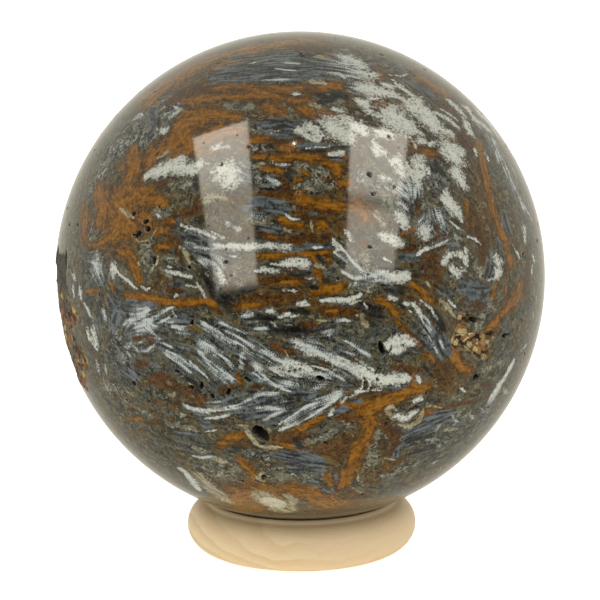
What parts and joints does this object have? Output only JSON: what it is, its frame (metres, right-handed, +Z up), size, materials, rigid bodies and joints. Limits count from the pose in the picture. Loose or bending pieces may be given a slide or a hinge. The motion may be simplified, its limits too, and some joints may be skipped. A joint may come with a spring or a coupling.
{
  "type": "decorative stone sphere",
  "caption": "Polished ball of brecciated fibrous stone with natural pits and a rough crystal pocket, resting on a turned wooden ring stand.",
  "frame": {"origin": "on the ground under the middle of the wooden ring and of the ball", "axes": "+Z up through the middle of the ring and the ball; the front of the ball, with its crystal pocket to the right, faces -Y; +X to the right"},
  "size_m": [0.0999, 0.1, 0.1066],
  "materials": {
    "polished_stone": "high polish, with dull natural pits",
    "turned_wood": "sanded, satin"
  },
  "bodies": {
    "root": {"stone_sphere": "polished_stone", "ring_stand": "turned_wood"}
  },
  "joints": []
}
